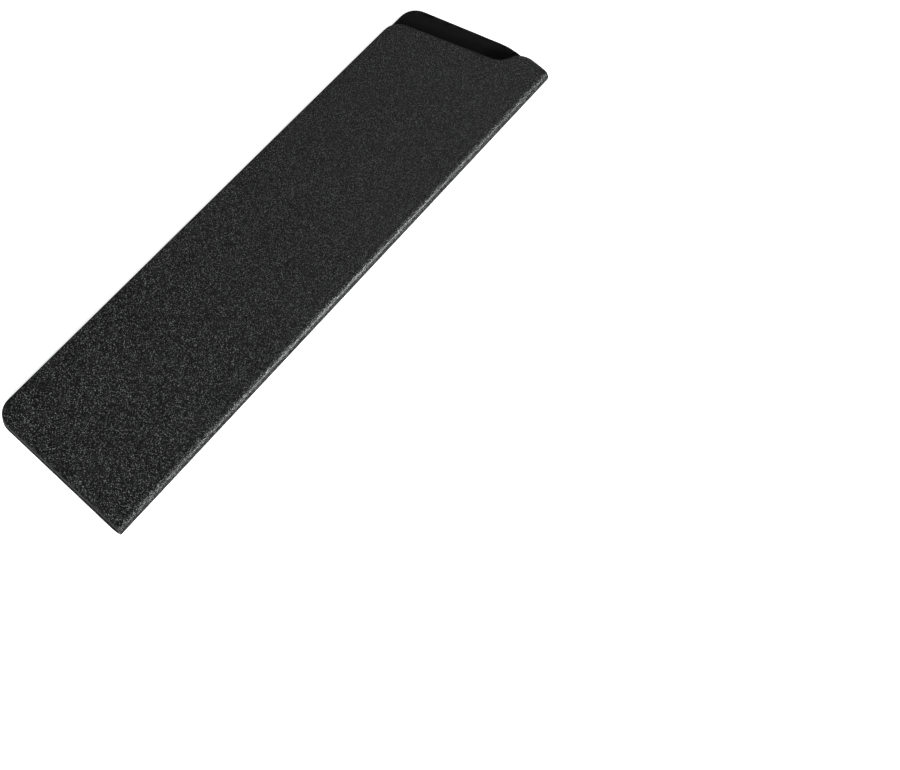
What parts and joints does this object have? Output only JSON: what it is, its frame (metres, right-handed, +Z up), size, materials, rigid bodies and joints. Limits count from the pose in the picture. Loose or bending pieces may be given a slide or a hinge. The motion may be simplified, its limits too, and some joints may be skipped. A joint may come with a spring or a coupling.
{
  "type": "knife blade guard",
  "caption": "Folded plastic blade guard lined with felt, open along one long edge and at the mouth, which spreads at its springy bend to take a kitchen knife's blade.",
  "frame": {"origin": "centre of the guard's bounding box, on the table under the back leaf", "axes": "+X along the fold from the tip end to the open mouth, +Y from the fold to the open long edge, +Z up through the two leaves"},
  "size_m": [0.267, 0.0638, 0.0079],
  "materials": {
    "sheet": "black, moulded with a fine pebble grain that glints in raking light",
    "felt": "near-black matt felt with a short nap",
    "adhesive": "thin pale glue film, hidden between sheet and felt"
  },
  "bodies": {
    "back": {"back_leaf": "sheet", "back_fold": "sheet", "back_felt": "felt", "back_fold_felt": "felt", "back_adhesive": "adhesive", "back_fold_adhesive": "adhesive"},
    "front": {"front_fold": "sheet", "front_leaf": "sheet", "front_fold_felt": "felt", "front_felt": "felt", "front_fold_adhesive": "adhesive", "front_adhesive": "adhesive"}
  },
  "joints": [
    {"name": "fold_flex", "type": "hinge", "parent": "back", "child": "front", "pos_m": [0, -0.03194, 0.00395], "axis": [1, 0, 0], "range_deg": [0, 30], "stiffness_Nm_per_rad": 1.1, "springref_deg": -2.86}
  ]
}
